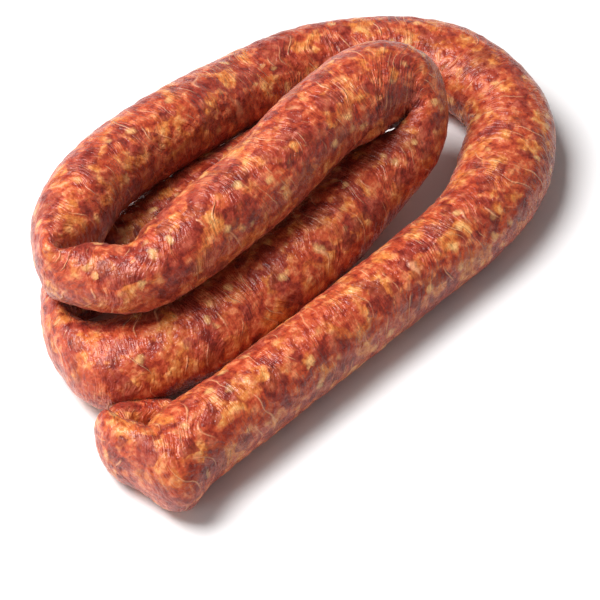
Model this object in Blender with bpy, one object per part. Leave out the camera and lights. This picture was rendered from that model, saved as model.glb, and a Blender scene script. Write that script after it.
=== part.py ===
"""A smoked sausage, one long natural casing full of coarse mince, laid in loops on a table.

The sausage is one piece. Its middle follows a list of stations, and at each station the
casing has an upright oval outline. A smooth curve through the stations gives the rings
that the skin is bridged from. Metres, +Z up, and the origin lies on the table under the
middle of the coil.
"""
import math

import bmesh
import bpy
import numpy as np
from mathutils import Vector

MM = 0.001

# Driving sizes, in millimetres.
FULL = 17.0                     # radius of a well filled hog casing, 34 mm across
REST_HEIGHT = 16.6              # middle of a length that lies on the table, pressed flat below
RING_SPACING = 6.2              # from one ring of the skin to the next
RING_SIDES = 16
CAP_RINGS = 3                   # rings that close each rounded end
TABLE_FLAT = 0.45               # everything lower than this lies flat on the table

# One row for each station along the sausage: x, y, height of the middle, half width,
# half height, and the compass direction of its right-hand side in degrees.
LOW = REST_HEIGHT
FRONT_TURN = [
    (-126, -30, 15.5, 5.5, 15.0, 155),
    (-128, -37, 16.0, 8.0, 16.0, 195),
    (-125.5, -47.5, LOW, 11.5, FULL, 228),
    (-122.5, -57.5, LOW, 18.5, FULL, 250),
]
FRONT_LENGTH = [
    (-105, -56.5, LOW, 17.5, FULL, 260),
    (-86, -57.5, LOW, 16.5, FULL, 268),
    (-34, -58, LOW, 16.0, FULL, 270),
    (24, -58, LOW, 16.5, FULL, 270),
]
WIDE_BEND = [
    (51, -57, LOW, 17.5, FULL, 275),
    (73, -52, LOW, 19.5, FULL, 290),
    (93, -42, LOW, 20.5, FULL, 305),
    (111, -27, LOW, 19.0, FULL, 325),
    (118.5, -6, LOW, 19.0, FULL, 350),
    (117, 15, LOW, 20.0, FULL, 375),
    (107, 34, LOW, 19.0, FULL, 405),
]
BACK_LENGTH = [
    (90, 49, 18.0, 16.5, FULL, 420),
    (68, 59, 20.0, FULL, FULL, 435),
    (34, 62.5, 25.0, FULL, FULL, 450),
    (-2, 58, 36.0, FULL, FULL, 455),
    (-35, 55, 42.0, 16.5, FULL, 460),
]
UPPER_TURN = [
    (-65, 47, 48.0, 15.5, 16.5, 470),
    (-86, 36, 49.0, 14.5, 16.0, 485),
    (-105, 21.5, 51.0, 5.5, 15.5, 510),
    (-97, 12, 51.0, 12.0, 14.0, 570),
    (-86, -2, 51.0, 13.5, 14.0, 590),
]
UPPER_LENGTH = [
    (-69, -5, 52.0, 15.5, 16.0, 625),
    (-44, -4, 53.0, FULL, FULL, 635),
    (-16, -2, 53.0, 17.5, FULL, 640),
    (29, 5, 53.5, 18.0, 17.5, 635),
]
INNER_BEND = [
    (61, 3, 50.5, 21.0, 17.5, 590),
    (73, -7, 46.0, 14.0, 16.5, 560),
    (70, -15, 38.5, 11.0, 15.5, 530),
    (58.5, -18, 30.0, 11.5, 15.0, 480),
]
MIDDLE_LENGTH = [
    (40, -14, 23.5, 17.5, 16.0, 455),
    (-2, -21.5, 22.5, 18.2, FULL, 455),
    (-44, -22, 20.5, 19.0, FULL, 450),
    (-79, -18.5, 20.5, 19.5, 16.5, 435),
]
LOWER_TURN = [
    (-106, -6, 19.0, 18.5, 16.5, 405),
    (-109, 11, 17.5, 10.0, 16.0, 370),
    (-102, 27, LOW, 7.0, 15.5, 320),
    (-84, 34, 17.0, 15.5, 15.0, 275),
]
HIDDEN_LENGTH = [
    (-65, 33, 18.0, 16.0, 15.5, 267),
    (-36, 34, 17.5, 15.5, 15.5, 270),
    (-6, 35, 15.5, 14.5, 15.0, 272),
    (20, 32.5, 15.0, 14.0, 15.0, 270),
    (44, 33, 15.5, 13.0, 14.5, 270),
]
SAUSAGE_STATIONS = (
    FRONT_TURN + FRONT_LENGTH + WIDE_BEND + BACK_LENGTH + UPPER_TURN + UPPER_LENGTH
    + INNER_BEND + MIDDLE_LENGTH + LOWER_TURN + HIDDEN_LENGTH
)
# The short tail that folds back from the front turn, under the length behind it.
TAIL_STATIONS = [
    (-125, -38, 13.0, 9.0, 11.0, 120),
    (-118, -30, 12.5, 8.0, 11.0, 100),
    (-110, -32, 11.0, 7.5, 9.5, 70),
    (-101, -37, 10.0, 6.0, 8.5, 60),
]
FRONT_CAP = 2.5                 # how far each closed end stands past its last station
HIDDEN_CAP = 9.0
TAIL_ROOT_CAP = 3.0
TAIL_TIP_CAP = 5.0


def clear_scene():
    for old in list(bpy.data.objects):
        bpy.data.objects.remove(old, do_unlink=True)


def smooth_rows(stations, spacing):
    """Rows on a smooth curve through the stations, about one spacing apart."""
    rows = np.array(stations, dtype=float)
    ghosts = np.vstack([2 * rows[0] - rows[1], rows, 2 * rows[-1] - rows[-2]])
    steps = np.sqrt(np.linalg.norm(np.diff(ghosts[:, :3], axis=0), axis=1))
    curve = []
    for index in range(1, len(ghosts) - 2):
        before, start, end, after = ghosts[index - 1:index + 3]
        first, middle, last = steps[index - 1:index + 2]
        slope_in = middle * ((start - before) / first - (end - before) / (first + middle)) + end - start
        slope_out = middle * ((after - end) / last - (after - start) / (middle + last)) + end - start
        length = np.linalg.norm((end - start)[:3])
        count = max(1, round(length / spacing))
        for part in np.arange(count) / count:
            cubic = 2 * part ** 3 - 3 * part ** 2
            curve.append(
                (1 + cubic) * start - cubic * end
                + (part ** 3 - 2 * part ** 2 + part) * slope_in
                + (part ** 3 - part ** 2) * slope_out
            )
    curve.append(rows[-1])
    return np.array(curve)


def cap_rows(row, neighbour, reach):
    """Shrinking copies of an end row that round it off, nearest the end row first."""
    outward = row[:3] - neighbour[:3]
    outward /= np.linalg.norm(outward)
    rows = []
    for index in range(1, CAP_RINGS):
        angle = 0.5 * math.pi * index / CAP_RINGS
        shrunk = row.copy()
        shrunk[:3] += outward * reach * math.sin(angle)
        shrunk[3:5] *= math.cos(angle)
        rows.append(shrunk)
    return rows, row[:3] + outward * reach


def ring_points(row):
    """The oval outline of the casing at one row, flat where it lies on the table."""
    x, y, z, half_width, half_height, heading = row
    side = Vector((math.cos(math.radians(heading)), math.sin(math.radians(heading)), 0))
    points = []
    for index in range(RING_SIDES):
        angle = 2 * math.pi * (index + 0.5) / RING_SIDES
        point = Vector((x, y, z)) + side * half_width * math.cos(angle)
        point.z += half_height * math.sin(angle)
        if point.z < TABLE_FLAT:
            point.z = 0
        points.append(point * MM)
    return points


def add_skin(name, stations, start_reach, end_reach):
    """One closed skin along the stations, bridged ring by ring and capped at both ends."""
    rows = smooth_rows(stations, RING_SPACING)
    start_rows, start_pole = cap_rows(rows[0], rows[1], start_reach)
    end_rows, end_pole = cap_rows(rows[-1], rows[-2], end_reach)
    rows = start_rows[::-1] + list(rows) + end_rows
    skin = bmesh.new()
    rings = [[skin.verts.new(point) for point in ring_points(row)] for row in rows]
    for ring, following in zip(rings, rings[1:]):
        for index in range(RING_SIDES):
            beside = (index + 1) % RING_SIDES
            skin.faces.new((ring[index], ring[beside], following[beside], following[index]))
    for ring, pole in ((rings[0], start_pole), (rings[-1], end_pole)):
        tip = skin.verts.new(Vector(pole) * MM)
        for index in range(RING_SIDES):
            skin.faces.new((ring[index], ring[(index + 1) % RING_SIDES], tip))
    bmesh.ops.recalc_face_normals(skin, faces=skin.faces)
    mesh = bpy.data.meshes.new(name)
    skin.to_mesh(mesh)
    skin.free()
    piece = bpy.data.objects.new(name, mesh)
    bpy.context.collection.objects.link(piece)
    return piece


def casing_material():
    """Orange-red smoked casing over coarse mince, with a dry satin surface."""
    material = bpy.data.materials.new("smoked_casing")
    material.use_nodes = True
    shader = material.node_tree.nodes["Principled BSDF"]
    shader.inputs["Base Color"].default_value = (0.50, 0.11, 0.045, 1)
    shader.inputs["Roughness"].default_value = 0.45
    shader.inputs["Metallic"].default_value = 0
    return material


def stand_on_origin(pieces, main):
    """Move the pieces so that the middle of the main one's box is over the origin."""
    corners = [corner.co for corner in main.data.vertices]
    middle_x = (min(c.x for c in corners) + max(c.x for c in corners)) / 2
    middle_y = (min(c.y for c in corners) + max(c.y for c in corners)) / 2
    for piece in pieces:
        for vertex in piece.data.vertices:
            vertex.co.x -= middle_x
            vertex.co.y -= middle_y


def join_tail(sausage, tail):
    """Union the folded tail into the sausage, so that the two are one body."""
    union = sausage.modifiers.new("join_tail", "BOOLEAN")
    union.operation = "UNION"
    union.solver = "EXACT"
    union.object = tail
    tail.hide_render = True
    tail.display_type = "WIRE"


def make_sausage():
    sausage = add_skin("sausage", SAUSAGE_STATIONS, FRONT_CAP, HIDDEN_CAP)
    tail = add_skin("folded_tail", TAIL_STATIONS, TAIL_ROOT_CAP, TAIL_TIP_CAP)
    stand_on_origin((sausage, tail), sausage)
    join_tail(sausage, tail)
    sausage.data.materials.append(casing_material())
    sausage.data.shade_smooth()
    return sausage


clear_scene()
make_sausage()
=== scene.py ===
"""The looks of a smoked sausage laid in loops: its skin, its casing and the light on it."""

import math

import bmesh
import bpy
import numpy as np
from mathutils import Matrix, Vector
from mathutils.kdtree import KDTree


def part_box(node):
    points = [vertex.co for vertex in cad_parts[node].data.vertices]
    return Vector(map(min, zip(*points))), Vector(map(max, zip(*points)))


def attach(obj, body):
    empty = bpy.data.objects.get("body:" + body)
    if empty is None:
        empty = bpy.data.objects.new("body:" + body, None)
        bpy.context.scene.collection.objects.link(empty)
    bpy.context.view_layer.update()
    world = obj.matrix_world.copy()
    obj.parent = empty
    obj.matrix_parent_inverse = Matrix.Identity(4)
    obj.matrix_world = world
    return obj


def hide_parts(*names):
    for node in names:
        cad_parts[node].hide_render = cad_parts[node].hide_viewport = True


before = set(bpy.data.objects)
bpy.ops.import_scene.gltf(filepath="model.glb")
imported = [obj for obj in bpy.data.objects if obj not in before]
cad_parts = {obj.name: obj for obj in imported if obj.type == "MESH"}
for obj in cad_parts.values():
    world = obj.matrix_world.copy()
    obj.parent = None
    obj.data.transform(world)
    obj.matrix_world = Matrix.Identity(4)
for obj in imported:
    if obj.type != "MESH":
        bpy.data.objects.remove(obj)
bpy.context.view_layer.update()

MM = 0.001

# Driving sizes of the skin, in millimetres.
FULL = 17.0                     # radius of a well filled hog casing, 34 mm across
LOW = 16.6                      # middle of a length that lies on the table, pressed flat below
RING_SPACING = 1.3              # from one ring of the skin to the next
RING_SIDES = 96
RING_ANGLES = 2 * math.pi * (np.arange(RING_SIDES) + 0.5) / RING_SIDES
CAP_RINGS = 12                  # steps in which each rounded end closes

# One row for each station along the sausage: x, y, height of the middle, half width, half
# height, and the way its right-hand side faces, in degrees anticlockwise from +X.
FRONT_TURN = [
    (-126, -30, 15.5, 5.5, 15.0, 155),
    (-128, -37, 16.0, 8.0, 16.0, 195),
    (-125.5, -47.5, LOW, 11.5, FULL, 228),
    (-122.5, -57.5, LOW, 18.5, FULL, 250),
]
FRONT_LENGTH = [
    (-105, -56.5, LOW, 17.5, FULL, 260),
    (-86, -57.5, LOW, 16.5, FULL, 268),
    (-34, -58, LOW, 16.0, FULL, 270),
    (24, -58, LOW, 16.5, FULL, 270),
]
WIDE_BEND = [
    (51, -57, LOW, 17.5, FULL, 275),
    (73, -52, LOW, 19.5, FULL, 290),
    (93, -42, LOW, 20.5, FULL, 305),
    (111, -27, LOW, 19.0, FULL, 325),
    (118.5, -6, LOW, 19.0, FULL, 350),
    (117, 15, LOW, 20.0, FULL, 375),
    (107, 34, LOW, 19.0, FULL, 405),
]
BACK_LENGTH = [
    (90, 49, 18.0, 16.5, FULL, 420),
    (68, 59, 20.0, FULL, FULL, 435),
    (34, 62.5, 25.0, FULL, FULL, 450),
    (-2, 58, 36.0, FULL, FULL, 455),
    (-35, 55, 42.0, 16.5, FULL, 460),
]
UPPER_TURN = [
    (-65, 47, 48.0, 15.5, 16.5, 470),
    (-86, 36, 49.0, 14.5, 16.0, 485),
    (-105, 21.5, 51.0, 5.5, 15.5, 510),
    (-97, 12, 51.0, 12.0, 14.0, 570),
    (-86, -2, 51.0, 13.5, 14.0, 590),
]
UPPER_LENGTH = [
    (-69, -5, 52.0, 15.5, 16.0, 625),
    (-44, -4, 53.0, FULL, FULL, 635),
    (-16, -2, 53.0, 17.5, FULL, 640),
    (29, 5, 53.5, 18.0, 17.5, 635),
]
INNER_BEND = [
    (61, 3, 50.5, 21.0, 17.5, 590),
    (73, -7, 46.0, 14.0, 16.5, 560),
    (70, -15, 38.5, 11.0, 15.5, 530),
    (58.5, -18, 30.0, 11.5, 15.0, 480),
]
MIDDLE_LENGTH = [
    (40, -14, 23.5, 17.5, 16.0, 455),
    (-2, -21.5, 22.5, 18.2, FULL, 455),
    (-44, -22, 20.5, 19.0, FULL, 450),
    (-79, -18.5, 20.5, 19.5, 16.5, 435),
]
LOWER_TURN = [
    (-106, -6, 19.0, 18.5, 16.5, 405),
    (-109, 11, 17.5, 10.0, 16.0, 370),
    (-102, 27, LOW, 7.0, 15.5, 320),
    (-84, 34, 17.0, 15.5, 15.0, 275),
]
HIDDEN_LENGTH = [
    (-65, 33, 18.0, 16.0, 15.5, 267),
    (-36, 34, 17.5, 15.5, 15.5, 270),
    (-6, 35, 15.5, 14.5, 15.0, 272),
    (20, 32.5, 15.0, 14.0, 15.0, 270),
    (44, 33, 15.5, 13.0, 14.5, 270),
]
SAUSAGE_STATIONS = (
    FRONT_TURN + FRONT_LENGTH + WIDE_BEND + BACK_LENGTH + UPPER_TURN + UPPER_LENGTH
    + INNER_BEND + MIDDLE_LENGTH + LOWER_TURN + HIDDEN_LENGTH
)
# The short tail that folds back from the front turn, under the length behind it.
TAIL_STATIONS = [
    (-125, -38, 13.0, 9.0, 11.0, 120),
    (-118, -30, 12.5, 8.0, 11.0, 100),
    (-110, -32, 11.0, 7.5, 9.5, 70),
    (-101, -37, 10.0, 6.0, 8.5, 60),
]
FRONT_CAP = 2.5                 # how far each closed end stands past its last station
HIDDEN_CAP = 9.0
TAIL_ROOT_CAP = 3.0
TAIL_TIP_CAP = 5.0


def smooth_rows(stations, spacing):
    """Rows on a centripetal Catmull-Rom curve through the stations, about one spacing apart."""
    rows = np.array(stations, dtype=float)
    ghosts = np.vstack([2 * rows[0] - rows[1], rows, 2 * rows[-1] - rows[-2]])
    steps = np.sqrt(np.linalg.norm(np.diff(ghosts[:, :3], axis=0), axis=1))
    curve = []
    for index in range(1, len(ghosts) - 2):
        before, start, end, after = ghosts[index - 1:index + 3]
        first, middle, last = steps[index - 1:index + 2]
        slope_in = middle * ((start - before) / first - (end - before) / (first + middle)) + end - start
        slope_out = middle * ((after - end) / last - (after - start) / (middle + last)) + end - start
        length = np.linalg.norm((end - start)[:3])
        count = max(1, round(length / spacing))
        for part in np.arange(count) / count:
            cubic = 2 * part ** 3 - 3 * part ** 2
            curve.append(
                (1 + cubic) * start - cubic * end
                + (part ** 3 - 2 * part ** 2 + part) * slope_in
                + (part ** 3 - part ** 2) * slope_out
            )
    curve.append(rows[-1])
    return np.array(curve)


def cap_rows(row, neighbour, reach):
    """Shrinking copies of an end row that round it off, nearest the end row first."""
    outward = row[:3] - neighbour[:3]
    outward /= np.linalg.norm(outward)
    rows = []
    for index in range(1, CAP_RINGS):
        angle = 0.5 * math.pi * index / CAP_RINGS
        shrunk = row.copy()
        shrunk[:3] += outward * reach * math.sin(angle)
        shrunk[3:5] *= math.cos(angle)
        rows.append(shrunk)
    return rows, row[:3] + outward * reach


def ring_points(rows):
    """For each row, the points of the casing's oval outline, never lower than the table."""
    heading = np.radians(rows[:, 5:6])
    across = rows[:, 3:4] * np.cos(RING_ANGLES)
    points = np.empty((len(rows), RING_SIDES, 3))
    points[:, :, 0] = rows[:, 0:1] + np.cos(heading) * across
    points[:, :, 1] = rows[:, 1:2] + np.sin(heading) * across
    points[:, :, 2] = np.maximum(rows[:, 2:3] + rows[:, 4:5] * np.sin(RING_ANGLES), 0)
    return points


def casing_places(points):
    """Each point's place on the casing pulled straight, and how far a bend crowds it.

    The crowding is 0 where the casing is at least as long as its ring's mean, and towards 1
    on the inside of a tight bend.
    """
    steps = np.linalg.norm(np.diff(points, axis=0), axis=2)
    lengths = np.vstack([steps[:1], (steps[:-1] + steps[1:]) / 2, steps[-1:]])
    mean_length = lengths.mean(axis=1, keepdims=True)
    reach = np.cumsum(mean_length)
    straight = np.empty(points.shape)
    straight[:, :, 0] = reach[:, None]
    straight[:, :, 1] = FULL * np.cos(RING_ANGLES)
    straight[:, :, 2] = FULL * np.sin(RING_ANGLES)
    crowding = np.clip(1 - lengths / mean_length, 0, 1)
    return straight, crowding


def add_skin(name, stations, start_reach, end_reach):
    """One closed skin along the stations, bridged ring by ring and capped at both ends.

    It comes with the place and the crowding of its ring points, which are its first vertices.
    The two poles of the caps are its last.
    """
    rows = smooth_rows(stations, RING_SPACING)
    start_rows, start_pole = cap_rows(rows[0], rows[1], start_reach)
    end_rows, end_pole = cap_rows(rows[-1], rows[-2], end_reach)
    rows = np.vstack([start_rows[::-1], rows, end_rows])
    points = ring_points(rows)
    straight, crowding = casing_places(points)
    skin = bmesh.new()
    rings = [[skin.verts.new(point * MM) for point in ring] for ring in points]
    for ring, following in zip(rings, rings[1:]):
        for index in range(RING_SIDES):
            beside = (index + 1) % RING_SIDES
            skin.faces.new((ring[index], ring[beside], following[beside], following[index]))
    for ring, pole in ((rings[0], start_pole), (rings[-1], end_pole)):
        tip = skin.verts.new(Vector(pole) * MM)
        for index in range(RING_SIDES):
            skin.faces.new((ring[index], ring[(index + 1) % RING_SIDES], tip))
    bmesh.ops.recalc_face_normals(skin, faces=skin.faces)
    mesh = bpy.data.meshes.new(name)
    skin.to_mesh(mesh)
    skin.free()
    piece = bpy.data.objects.new(name, mesh)
    bpy.context.collection.objects.link(piece)
    return piece, straight.reshape(-1, 3) * MM, crowding.reshape(-1)


def store_places(piece, ring_spots, straight, crowding):
    """Give every vertex the straightened place and the crowding of the ring point nearest to it."""
    spots = KDTree(len(ring_spots))
    for index, spot in enumerate(ring_spots):
        spots.insert(spot, index)
    spots.balance()
    nearest = [spots.find(corner.co)[1] for corner in piece.data.vertices]
    place = piece.data.attributes.new("straight", "FLOAT_VECTOR", "POINT")
    place.data.foreach_set("vector", straight[nearest].astype(np.float32).ravel())
    crowd = piece.data.attributes.new("crowding", "FLOAT", "POINT")
    crowd.data.foreach_set("value", crowding[nearest].astype(np.float32))


def put_on_frame(pieces, main):
    """Slide the pieces over the table until the main one's box has the CAD node's middle."""
    low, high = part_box("sausage")
    corners = np.array([corner.co for corner in main.data.vertices])
    shift = (np.array(low + high) - corners.min(0) - corners.max(0)) / 2
    for piece in pieces:
        for corner in piece.data.vertices:
            corner.co.x += shift[0]
            corner.co.y += shift[1]


def union_tail(sausage, tail):
    """One closed body of the sausage and its folded tail."""
    union = sausage.modifiers.new("join_tail", "BOOLEAN")
    union.operation = "UNION"
    union.solver = "EXACT"
    union.object = tail
    return as_plain_mesh(sausage, "joined_skin")


def as_plain_mesh(piece, name):
    """The piece as its modifiers leave it, as a new mesh object, and the old one removed."""
    seen = piece.evaluated_get(bpy.context.evaluated_depsgraph_get())
    mesh = bpy.data.meshes.new_from_object(seen)
    plain = bpy.data.objects.new(name, mesh)
    bpy.context.collection.objects.link(plain)
    bpy.data.objects.remove(piece)
    return plain


def linear(hex_colour):
    """An sRGB hex colour as linear red, green, blue and alpha, by the sRGB standard's curve."""
    values = [int(hex_colour[place:place + 2], 16) / 255 for place in (1, 3, 5)]
    return [v / 12.92 if v <= 0.04045 else ((v + 0.055) / 1.055) ** 2.4 for v in values] + [1]


def add_node(tree, kind, inputs=None, **settings):
    """A node with its settings, and its inputs linked to a socket or a node, or set to a value."""
    node = tree.nodes.new(kind)
    for setting, value in settings.items():
        setattr(node, setting, value)
    for place, value in (inputs or {}).items():
        if isinstance(value, bpy.types.Node):
            value = next(socket for socket in value.outputs if socket.enabled)
        if isinstance(value, bpy.types.NodeSocket):
            tree.links.new(value, node.inputs[place])
        else:
            node.inputs[place].default_value = value
    return node


# The relief that shows in the sausage's outline, in millimetres, by the tree's own input names.
RELIEF_SIZES = {
    "Lump Height": 0.7,
    "Lump Size": 7.0,
    "Crease Depth": 1.1,
    "Crease Spacing": 4.5,
    "Crease Length": 16.0,
    "Table Fade": 3.0,          # height above the table at which the relief is full
}
NOISE_LOW = 0.3                 # nearly all of a noise lies between these two values
NOISE_HIGH = 0.7
CREASE_EDGE = 0.09              # how far the noise is from its middle at a crease's edge
FAINT_CREASE = 0.12             # share of the depth that a crease has on a straight length
CROWDED = 0.6                   # crowding at which a crease has its full depth
FAR_OUT = 10.0                  # metres, beyond everything in the scene


def raised_lumps(tree, sizes, place):
    """How far the coarse mince pushes the casing out or lets it in, in rounded swellings."""
    fineness = add_node(tree, "ShaderNodeMath", {0: 1.0, 1: sizes["Lump Size"]}, operation="DIVIDE")
    lumps = add_node(
        tree, "ShaderNodeTexNoise",
        {"Vector": place, "Scale": fineness, "Detail": 2.0, "Roughness": 0.55},
    )
    swelling = add_node(
        tree, "ShaderNodeMapRange",
        {"Value": lumps, "From Min": NOISE_LOW, "From Max": NOISE_HIGH, "To Min": -0.5, "To Max": 0.5},
    )
    return add_node(
        tree, "ShaderNodeMath",
        {0: swelling.outputs["Result"], 1: sizes["Lump Height"]}, operation="MULTIPLY",
    )


def crease_valleys(tree, sizes):
    """-1 at the bottom of each thin valley across the tube, and 0 from its edges on."""
    straight = add_node(
        tree, "GeometryNodeInputNamedAttribute", {"Name": "straight"}, data_type="FLOAT_VECTOR"
    )
    along = add_node(tree, "ShaderNodeMath", {0: 1.0, 1: sizes["Crease Spacing"]}, operation="DIVIDE")
    around = add_node(tree, "ShaderNodeMath", {0: 1.0, 1: sizes["Crease Length"]}, operation="DIVIDE")
    stretch = add_node(tree, "ShaderNodeCombineXYZ", {"X": along, "Y": around, "Z": around})
    drawn_out = add_node(
        tree, "ShaderNodeVectorMath",
        {0: straight.outputs["Attribute"], 1: stretch}, operation="MULTIPLY",
    )
    folds = add_node(
        tree, "ShaderNodeTexNoise",
        {"Vector": drawn_out, "Scale": 1.0, "Detail": 1.0, "Distortion": 0.6},
    )
    from_fold = add_node(tree, "ShaderNodeMath", {0: folds, 1: 0.5}, operation="SUBTRACT")
    distance = add_node(tree, "ShaderNodeMath", {0: from_fold}, operation="ABSOLUTE")
    return add_node(
        tree, "ShaderNodeMapRange",
        {"Value": distance, "From Min": 0.0, "From Max": CREASE_EDGE, "To Min": -1.0, "To Max": 0.0},
        interpolation_type="SMOOTHSTEP",
    )


def sunk_creases(tree, sizes):
    """How far the casing sinks into its creases, which are deeper where a bend crowds it."""
    crowding = add_node(
        tree, "GeometryNodeInputNamedAttribute", {"Name": "crowding"}, data_type="FLOAT"
    )
    strength = add_node(
        tree, "ShaderNodeMapRange",
        {"Value": crowding.outputs["Attribute"], "From Min": 0.0, "From Max": CROWDED,
         "To Min": FAINT_CREASE, "To Max": 1.0},
    )
    depth = add_node(
        tree, "ShaderNodeMath",
        {0: strength.outputs["Result"], 1: sizes["Crease Depth"]}, operation="MULTIPLY",
    )
    valleys = crease_valleys(tree, sizes)
    return add_node(
        tree, "ShaderNodeMath", {0: valleys.outputs["Result"], 1: depth}, operation="MULTIPLY"
    )


def clear_of_table(tree, sizes, place):
    """0 on the table, which the casing lies flat on, and 1 from the fade's height up."""
    height = add_node(tree, "ShaderNodeSeparateXYZ", {"Vector": place}).outputs["Z"]
    return add_node(
        tree, "ShaderNodeMapRange",
        {"Value": height, "From Min": 0.0, "From Max": sizes["Table Fade"]},
        interpolation_type="SMOOTHSTEP",
    )


def relief_tree():
    """Geometry Nodes that raise the mince's lumps under the casing and crease it across the tube."""
    tree = bpy.data.node_groups.new("casing_relief", "GeometryNodeTree")
    tree.interface.new_socket("Geometry", in_out="INPUT", socket_type="NodeSocketGeometry")
    for name in RELIEF_SIZES:
        tree.interface.new_socket(name, in_out="INPUT", socket_type="NodeSocketFloat")
    tree.interface.new_socket("Material", in_out="INPUT", socket_type="NodeSocketMaterial")
    tree.interface.new_socket("Geometry", in_out="OUTPUT", socket_type="NodeSocketGeometry")
    sizes = tree.nodes.new("NodeGroupInput").outputs
    place = add_node(tree, "GeometryNodeInputPosition")

    raised = raised_lumps(tree, sizes, place)
    sunk = sunk_creases(tree, sizes)
    relief = add_node(tree, "ShaderNodeMath", {0: raised, 1: sunk}, operation="ADD")
    clear = clear_of_table(tree, sizes, place)
    faded = add_node(
        tree, "ShaderNodeMath", {0: relief, 1: clear.outputs["Result"]}, operation="MULTIPLY"
    )
    normal = add_node(tree, "GeometryNodeInputNormal")
    offset = add_node(tree, "ShaderNodeVectorMath", {0: normal, "Scale": faded}, operation="SCALE")
    shaped = add_node(
        tree, "GeometryNodeSetPosition", {"Geometry": sizes["Geometry"], "Offset": offset}
    )

    # Nothing sinks below the table, whose height is 0.
    above = add_node(
        tree, "ShaderNodeVectorMath", {0: place, 1: (-FAR_OUT, -FAR_OUT, 0.0)}, operation="MAXIMUM"
    )
    rested = add_node(tree, "GeometryNodeSetPosition", {"Geometry": shaped, "Position": above})
    real = add_node(tree, "GeometryNodeRealizeInstances", {"Geometry": rested})
    clad = add_node(tree, "GeometryNodeSetMaterial", {"Geometry": real, "Material": sizes["Material"]})
    add_node(tree, "NodeGroupOutput", {"Geometry": clad})
    return tree


def give_relief(piece, material):
    """Run the relief tree on the piece with this sausage's sizes, and keep what it makes."""
    modifier = piece.modifiers.new("casing_relief", "NODES")
    modifier.node_group = relief_tree()
    values = {name: size * MM for name, size in RELIEF_SIZES.items()}
    values["Material"] = material
    for socket in modifier.node_group.interface.items_tree:
        if socket.name in values:
            modifier[socket.identifier] = values[socket.name]
    return as_plain_mesh(piece, "coiled_sausage")


# The mince and its casing, as sRGB: dark, middle and light shades of each; the dark is also painted
# shade in the grain's hollows, the light painted light on its ridges.
LEAN_SHADES = ("#6b1c16", "#8c2c22", "#a84538")
MINCE_SHADES = ("#922c1a", "#b84a2b", "#d87a50")
FAT_SHADES = ("#c2602a", "#e08d42", "#f4bb6e")
LUMP_CREAM = "#f4bf7c"
# The wrinkles' pale colour: partly the dried skin's own, partly a painted highlight on their crests.
WRINKLE_PALE_AND_HIGHLIGHT = "#eca377"
SHEEN_PINK = "#e9bfb4"

# Sizes of what shows through the casing and on it, in millimetres.
MINCE_GRAIN = 3.6
LEAN_PIECE = 6.5
FAT_PATCH = 10.0
FAT_LUMP = 5.0                  # room for one lump, which shows about 3 mm across
WRINKLE_SPACING = 4.6
WRINKLE_WIDTH = 1.1
WRINKLE_LENGTH = 13.0
SKIN_PEBBLE = 1.5               # finer on real skin, drawn as coarse as it needs to show
CRINKLE_SPACING = 1.8           # finer on real skin too, and drawn so for the same reason
CRINKLE_LENGTH = 8.0
SWERVE_SIZE = 24.0              # from one slant of the wrinkles to the next
SWERVE = 26.0                   # how far the slants shift them along the tube

# Where each starts to show and where it is full, in its own pattern's values. For the meats
# a third value is how far they then cover the mince.
LEAN_RANGE = (0.54, 0.24, 0.80)
FAT_RANGE = (0.47, 0.68, 0.62)
LUMP_RANGE = (0.58, 0.10, 0.65)
WRINKLE_RANGE = (0.54, 0.68)
LUMPS_KEPT = 0.10               # share of the fat lumps that press against the casing
# The wrinkles' paleness is partly the dried skin and partly a painted highlight on their crests.
WRINKLE_PALENESS_AND_HIGHLIGHT = 0.8          # how far a wrinkle's middle turns pale
# The grain's dark shade is painted shade in its hollows and its light shade painted light on its ridges.
GRAIN_STEPS = (0.34, 0.50, 0.68)        # the grain's value at the dark, middle and light shades

# The layers of relief too fine for the mesh: height in millimetres, and strength.
GRAIN_BUMP = (0.5, 0.4)
PEBBLE_BUMP = (0.6, 0.9)
CRINKLE_BUMP = (1.0, 1.0)
WRINKLE_BUMP = (0.4, 0.8)

# A satin shine, moist on some spots and drier on others.
MOIST_ROUGHNESS = 0.24
DRY_ROUGHNESS = 0.42

# A colour Mix node's sockets, which share their names with those for other kinds of value.
FACTOR, FIRST, SECOND, MIXED = 0, 6, 7, 2


def ragged_places(tree, size, push):
    """Object coordinates pushed about by noise of that size, which gives pieces ragged outlines."""
    place = add_node(tree, "ShaderNodeTexCoord").outputs["Object"]
    drift = add_node(
        tree, "ShaderNodeTexNoise",
        {"Vector": place, "Scale": 1 / (size * MM), "Detail": 2.0, "Roughness": 0.55},
    ).outputs["Color"]
    centred = add_node(
        tree, "ShaderNodeVectorMath", {0: drift, 1: (0.5, 0.5, 0.5)}, operation="SUBTRACT"
    )
    pushed = add_node(
        tree, "ShaderNodeVectorMath", {0: centred, "Scale": push * MM}, operation="SCALE"
    )
    return add_node(
        tree, "ShaderNodeVectorMath", {0: place, 1: pushed}, operation="ADD"
    ).outputs["Vector"]


def slanted_places(tree):
    """Places on the straightened casing, in which lines across the tube slant a little."""
    straight = add_node(tree, "ShaderNodeAttribute", attribute_name="straight").outputs["Vector"]
    swerve = add_node(
        tree, "ShaderNodeTexNoise",
        {"Vector": straight, "Scale": 1 / (SWERVE_SIZE * MM), "Detail": 1.0},
    )
    slant = add_node(tree, "ShaderNodeMath", {0: swerve, 1: SWERVE * MM}, operation="MULTIPLY")
    aside = add_node(tree, "ShaderNodeCombineXYZ", {"X": slant})
    return add_node(
        tree, "ShaderNodeVectorMath", {0: straight, 1: aside}, operation="ADD"
    ).outputs["Vector"]


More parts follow.
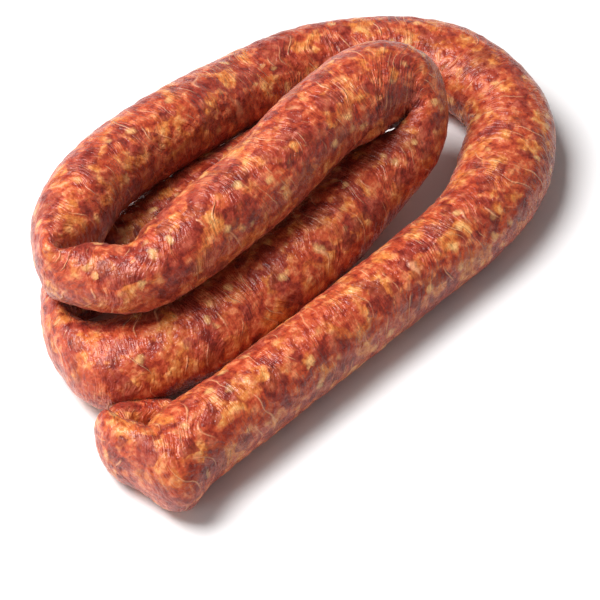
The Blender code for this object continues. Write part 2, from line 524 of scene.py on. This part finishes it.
def drawn_out_noise(tree, spacing, length, detail, roughness):
    """Noise drawn out across the tube: that far from one streak to the next, and streaks that long."""
    finenesses = (1 / (spacing * MM), 1 / (length * MM), 1 / (length * MM))
    places = add_node(
        tree, "ShaderNodeVectorMath", {0: slanted_places(tree), 1: finenesses}, operation="MULTIPLY"
    )
    return add_node(
        tree, "ShaderNodeTexNoise",
        {"Vector": places, "Scale": 1.0, "Detail": detail, "Roughness": roughness},
    ).outputs["Fac"]


def mince_grain(tree):
    """The grain of the mince, in noise that is low in the hollows and high on the ridges."""
    return add_node(
        tree, "ShaderNodeTexNoise",
        {"Vector": ragged_places(tree, size=3.0, push=1.5), "Scale": 1 / (MINCE_GRAIN * MM),
         "Detail": 2.5, "Roughness": 0.5},
    ).outputs["Fac"]


def skin_pebbles(tree):
    """The small pebbles that the casing dries into."""
    return add_node(
        tree, "ShaderNodeTexNoise",
        {"Vector": ragged_places(tree, size=3.0, push=1.0), "Scale": 1 / (SKIN_PEBBLE * MM),
         "Detail": 2.0},
    ).outputs["Fac"]


def meat_with_painted_grain_shade(tree, grain, shades):
    """One kind of meat, mottled by the grain: painted shade in the grain's hollows, then its middle
    shade, painted light on the ridges.
    """
    colour, middle, light = (linear(shade) for shade in shades)
    # Painted shade in the grain's hollows, rising through the meat's middle shade to painted light on
    # its ridges.
    for low, high, shade in zip(GRAIN_STEPS, GRAIN_STEPS[1:], (middle, light)):
        risen = add_node(
            tree, "ShaderNodeMapRange", {"Value": grain, "From Min": low, "From Max": high},
            interpolation_type="SMOOTHSTEP",
        ).outputs["Result"]
        colour = add_node(
            tree, "ShaderNodeMix", {FACTOR: risen, FIRST: colour, SECOND: shade}, data_type="RGBA"
        ).outputs[MIXED]
    return colour


def lean_share(tree):
    """How much of each spot is lean: soft-edged pieces of the coarse mince."""
    starts, full, cover = LEAN_RANGE
    pieces = add_node(
        tree, "ShaderNodeTexVoronoi",
        {"Vector": ragged_places(tree, size=4.0, push=5.0), "Scale": 1 / (LEAN_PIECE * MM),
         "Smoothness": 0.45},
        feature="SMOOTH_F1",
    )
    chosen = add_node(
        tree, "ShaderNodeSeparateColor", {"Color": pieces.outputs["Color"]}
    ).outputs["Red"]
    return add_node(
        tree, "ShaderNodeMapRange",
        {"Value": chosen, "From Min": starts, "From Max": full, "To Max": cover},
        interpolation_type="SMOOTHSTEP",
    ).outputs["Result"]


def fat_share(tree):
    """How much of each spot is fat: cloudy patches that show amber through the casing."""
    starts, full, cover = FAT_RANGE
    cloud = add_node(
        tree, "ShaderNodeTexNoise",
        {"Vector": ragged_places(tree, size=6.0, push=6.0), "Scale": 1 / (FAT_PATCH * MM),
         "Detail": 2.0, "Roughness": 0.55},
    )
    return add_node(
        tree, "ShaderNodeMapRange",
        {"Value": cloud, "From Min": starts, "From Max": full, "To Max": cover},
        interpolation_type="SMOOTHSTEP",
    ).outputs["Result"]


def fat_lump_share(tree):
    """How much of each spot is one of the few pale lumps of fat that press against the casing."""
    starts, full, cover = LUMP_RANGE
    lumps = add_node(
        tree, "ShaderNodeTexVoronoi",
        {"Vector": ragged_places(tree, size=4.0, push=4.0), "Scale": 1 / (FAT_LUMP * MM)},
        feature="F1",
    )
    chosen = add_node(
        tree, "ShaderNodeSeparateColor", {"Color": lumps.outputs["Color"]}
    ).outputs["Green"]
    kept = add_node(tree, "ShaderNodeMath", {0: chosen, 1: LUMPS_KEPT}, operation="LESS_THAN")
    inside = add_node(
        tree, "ShaderNodeMapRange",
        {"Value": lumps.outputs["Distance"], "From Min": starts, "From Max": full, "To Max": cover},
        interpolation_type="SMOOTHSTEP",
    ).outputs["Result"]
    return add_node(
        tree, "ShaderNodeMath", {0: kept, 1: inside}, operation="MULTIPLY"
    ).outputs["Value"]


def wrinkle_lines(tree):
    """1 on the middle of each dried wrinkle, a thin line across the tube, and 0 from its edges on."""
    along = add_node(tree, "ShaderNodeSeparateXYZ", {"Vector": slanted_places(tree)}).outputs["X"]
    counted = add_node(
        tree, "ShaderNodeMath", {0: along, 1: WRINKLE_SPACING * MM}, operation="DIVIDE"
    )
    wander = drawn_out_noise(
        tree, spacing=2 * WRINKLE_SPACING, length=2 * WRINKLE_SPACING, detail=1.0, roughness=0.5
    )
    wandered = add_node(tree, "ShaderNodeMath", {0: wander, 1: counted}, operation="ADD")
    from_line = add_node(tree, "ShaderNodeMath", {0: wandered, 1: 0.5}, operation="PINGPONG")
    edge = 0.5 * WRINKLE_WIDTH / WRINKLE_SPACING
    return add_node(
        tree, "ShaderNodeMapRange", {"Value": from_line, "From Min": edge, "From Max": 0.0},
        interpolation_type="SMOOTHSTEP",
    ).outputs["Result"]


def dried_wrinkles(tree):
    """The wrinkle lines, broken up so that each runs only part of the way round the tube."""
    starts, full = WRINKLE_RANGE
    streaks = drawn_out_noise(
        tree, spacing=0.7 * WRINKLE_SPACING, length=WRINKLE_LENGTH, detail=1.0, roughness=0.5
    )
    shown = add_node(
        tree, "ShaderNodeMapRange", {"Value": streaks, "From Min": starts, "From Max": full},
        interpolation_type="SMOOTHSTEP",
    ).outputs["Result"]
    lines = wrinkle_lines(tree)
    return add_node(
        tree, "ShaderNodeMath", {0: lines, 1: shown}, operation="MULTIPLY"
    ).outputs["Value"]


def casing_colour(tree, grain, wrinkles):
    """The colour of the casing, from the mince outwards, with painted shade and light in the grain and
    pale wrinkles that are partly painted highlight.
    """
    # The wrinkles turn pale: partly the dried skin, partly a painted highlight on their crests.
    paleness_and_highlight = add_node(
        tree, "ShaderNodeMath", {0: wrinkles, 1: WRINKLE_PALENESS_AND_HIGHLIGHT}, operation="MULTIPLY"
    ).outputs["Value"]
    colour = meat_with_painted_grain_shade(tree, grain, MINCE_SHADES)
    for share, shade in (
        (fat_share(tree), meat_with_painted_grain_shade(tree, grain, FAT_SHADES)),
        (lean_share(tree), meat_with_painted_grain_shade(tree, grain, LEAN_SHADES)),
        (fat_lump_share(tree), linear(LUMP_CREAM)),
        (paleness_and_highlight, linear(WRINKLE_PALE_AND_HIGHLIGHT)),
    ):
        colour = add_node(
            tree, "ShaderNodeMix", {FACTOR: share, FIRST: colour, SECOND: shade}, data_type="RGBA"
        ).outputs[MIXED]
    return colour


def fine_relief(tree, layers):
    """The surface direction with each layer's height pressed on top of the one before."""
    below = {}
    for height, (distance, strength) in layers:
        bump = add_node(
            tree, "ShaderNodeBump",
            {"Height": height, "Strength": strength, "Distance": distance * MM, **below},
        )
        below = {"Normal": bump}
    return bump.outputs["Normal"]


def smoked_natural_casing():
    """Natural hog casing, filled with coarse pork mince and smoked until dry.

    The casing is thin and lets the mince show: orange-red, with red-brown lean and amber fat, and
    painted shade in the grain's hollows and painted light on its ridges.
    It has dried in fine wrinkles, which break the satin shine into small streaks; their pale middles are
    partly the dried skin and partly a painted highlight.
    """
    material = bpy.data.materials.new("smoked_natural_casing_over_coarse_mince")
    material.use_nodes = True
    tree = material.node_tree
    shader = tree.nodes["Principled BSDF"]
    grain = mince_grain(tree)
    pebbles = skin_pebbles(tree)
    crinkle = drawn_out_noise(
        tree, spacing=CRINKLE_SPACING, length=CRINKLE_LENGTH, detail=2.0, roughness=0.55
    )
    wrinkles = dried_wrinkles(tree)
    tree.links.new(casing_colour(tree, grain, wrinkles), shader.inputs["Base Color"])
    normal = fine_relief(tree, (
        (grain, GRAIN_BUMP),
        (pebbles, PEBBLE_BUMP),
        (crinkle, CRINKLE_BUMP),
        (wrinkles, WRINKLE_BUMP),
    ))
    tree.links.new(normal, shader.inputs["Normal"])
    dryness = add_node(
        tree, "ShaderNodeMapRange",
        {"Value": pebbles, "From Min": NOISE_LOW, "From Max": NOISE_HIGH,
         "To Min": MOIST_ROUGHNESS, "To Max": DRY_ROUGHNESS},
    )
    tree.links.new(dryness.outputs["Result"], shader.inputs["Roughness"])

    # Collagen glazed with its own fat bends light about as oil does, and lets a little through.
    shader.inputs["IOR"].default_value = 1.45
    shader.inputs["Subsurface Weight"].default_value = 0.10
    shader.inputs["Subsurface Radius"].default_value = (1.0, 0.35, 0.2)
    shader.inputs["Subsurface Scale"].default_value = 1.2 * MM

    # Its dry bloom scatters a faint pink haze where the eye grazes it.
    shader.inputs["Sheen Weight"].default_value = 0.18
    shader.inputs["Sheen Roughness"].default_value = 0.4
    shader.inputs["Sheen Tint"].default_value = linear(SHEEN_PINK)
    return material


def make_sausage():
    """The whole sausage as one closed mesh in its place on the frame."""
    sausage, sausage_places, sausage_crowding = add_skin(
        "sausage_skin", SAUSAGE_STATIONS, FRONT_CAP, HIDDEN_CAP
    )
    tail, tail_places, tail_crowding = add_skin("tail_skin", TAIL_STATIONS, TAIL_ROOT_CAP, TAIL_TIP_CAP)
    put_on_frame((sausage, tail), sausage)

    # Each skin's last two vertices are its poles, which have no place of their own.
    ring_spots = [corner.co.copy() for skin in (sausage, tail) for corner in skin.data.vertices[:-2]]
    joined = union_tail(sausage, tail)
    bpy.data.objects.remove(tail)
    store_places(
        joined, ring_spots,
        np.vstack([sausage_places, tail_places]), np.concatenate([sausage_crowding, tail_crowding]),
    )
    piece = give_relief(joined, smoked_natural_casing())
    piece.data.shade_smooth()
    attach(piece, "root")
    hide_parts("sausage")


# The view: from above the front left of the coil, which puts the loops slantwise.
VIEW_AZIMUTH = math.radians(-45)
VIEW_ELEVATION = math.radians(50)
VIEW_DISTANCE = 850 * MM
VIEW_TARGET = Vector((-18.2, -27.1, 0.0)) * MM
LENS = 122.4

# The studio. One row for each softbox: its name, the azimuth and elevation that it shines
# from in degrees, its distance and size in metres, and its power in watts.
SOFTBOXES = (
    ("key_softbox", 226, 64, 1.1, 0.6, 18.5),
    ("front_softbox", 270, 30, 1.4, 0.6, 3),
)
SKY_WHITE = "#ffffff"
SKY_STRENGTH = 0.20
TABLE_WHITE = "#f4f2f2"
TABLE_REACH = 6.0               # metres, from the coil to each edge of the table


def compass(azimuth, elevation):
    """The direction from the coil at an azimuth, anticlockwise from -Y, and an elevation."""
    return Vector((
        math.sin(azimuth) * math.cos(elevation),
        -math.cos(azimuth) * math.cos(elevation),
        math.sin(elevation),
    ))


def add_camera():
    """The camera, which looks at the coil from the view's direction."""
    data = bpy.data.cameras.new("camera")
    data.lens = LENS
    camera = bpy.data.objects.new("camera", data)
    direction = compass(VIEW_AZIMUTH, VIEW_ELEVATION)
    camera.location = VIEW_TARGET + direction * VIEW_DISTANCE
    camera.rotation_euler = direction.to_track_quat("Z", "Y").to_euler()
    bpy.context.collection.objects.link(camera)
    bpy.context.scene.camera = camera


def add_softbox(name, azimuth, elevation, distance, size, power):
    """A square area light that faces the coil."""
    data = bpy.data.lights.new(name, "AREA")
    data.size = size
    data.energy = power
    light = bpy.data.objects.new(name, data)
    direction = compass(math.radians(azimuth), math.radians(elevation))
    light.location = direction * distance
    light.rotation_euler = direction.to_track_quat("Z", "Y").to_euler()
    bpy.context.collection.objects.link(light)


def matt_white_laminate():
    """Matt white laminate, pressed smooth: an even pale surface that mirrors nothing."""
    material = bpy.data.materials.new("matt_white_laminate")
    material.use_nodes = True
    shader = material.node_tree.nodes["Principled BSDF"]
    shader.inputs["Base Color"].default_value = linear(TABLE_WHITE)
    shader.inputs["Roughness"].default_value = 0.7
    return material


def add_table():
    """A plain pale surface, wide enough to fill the view."""
    mesh = bpy.data.meshes.new("table")
    corners = [(x * TABLE_REACH, y * TABLE_REACH, 0) for x, y in ((-1, -1), (1, -1), (1, 1), (-1, 1))]
    mesh.from_pydata(corners, [], [(0, 1, 2, 3)])
    mesh.materials.append(matt_white_laminate())
    table = bpy.data.objects.new("table", mesh)
    bpy.context.collection.objects.link(table)


def light_scene():
    """An even white light from all round the coil, and the softboxes."""
    world = bpy.data.worlds.new("studio")
    world.use_nodes = True
    sky = world.node_tree.nodes["Background"]
    sky.inputs["Color"].default_value = linear(SKY_WHITE)
    sky.inputs["Strength"].default_value = SKY_STRENGTH
    bpy.context.scene.world = world
    for softbox in SOFTBOXES:
        add_softbox(*softbox)
    bpy.context.scene.view_settings.view_transform = "Standard"


make_sausage()
add_table()
light_scene()
add_camera()
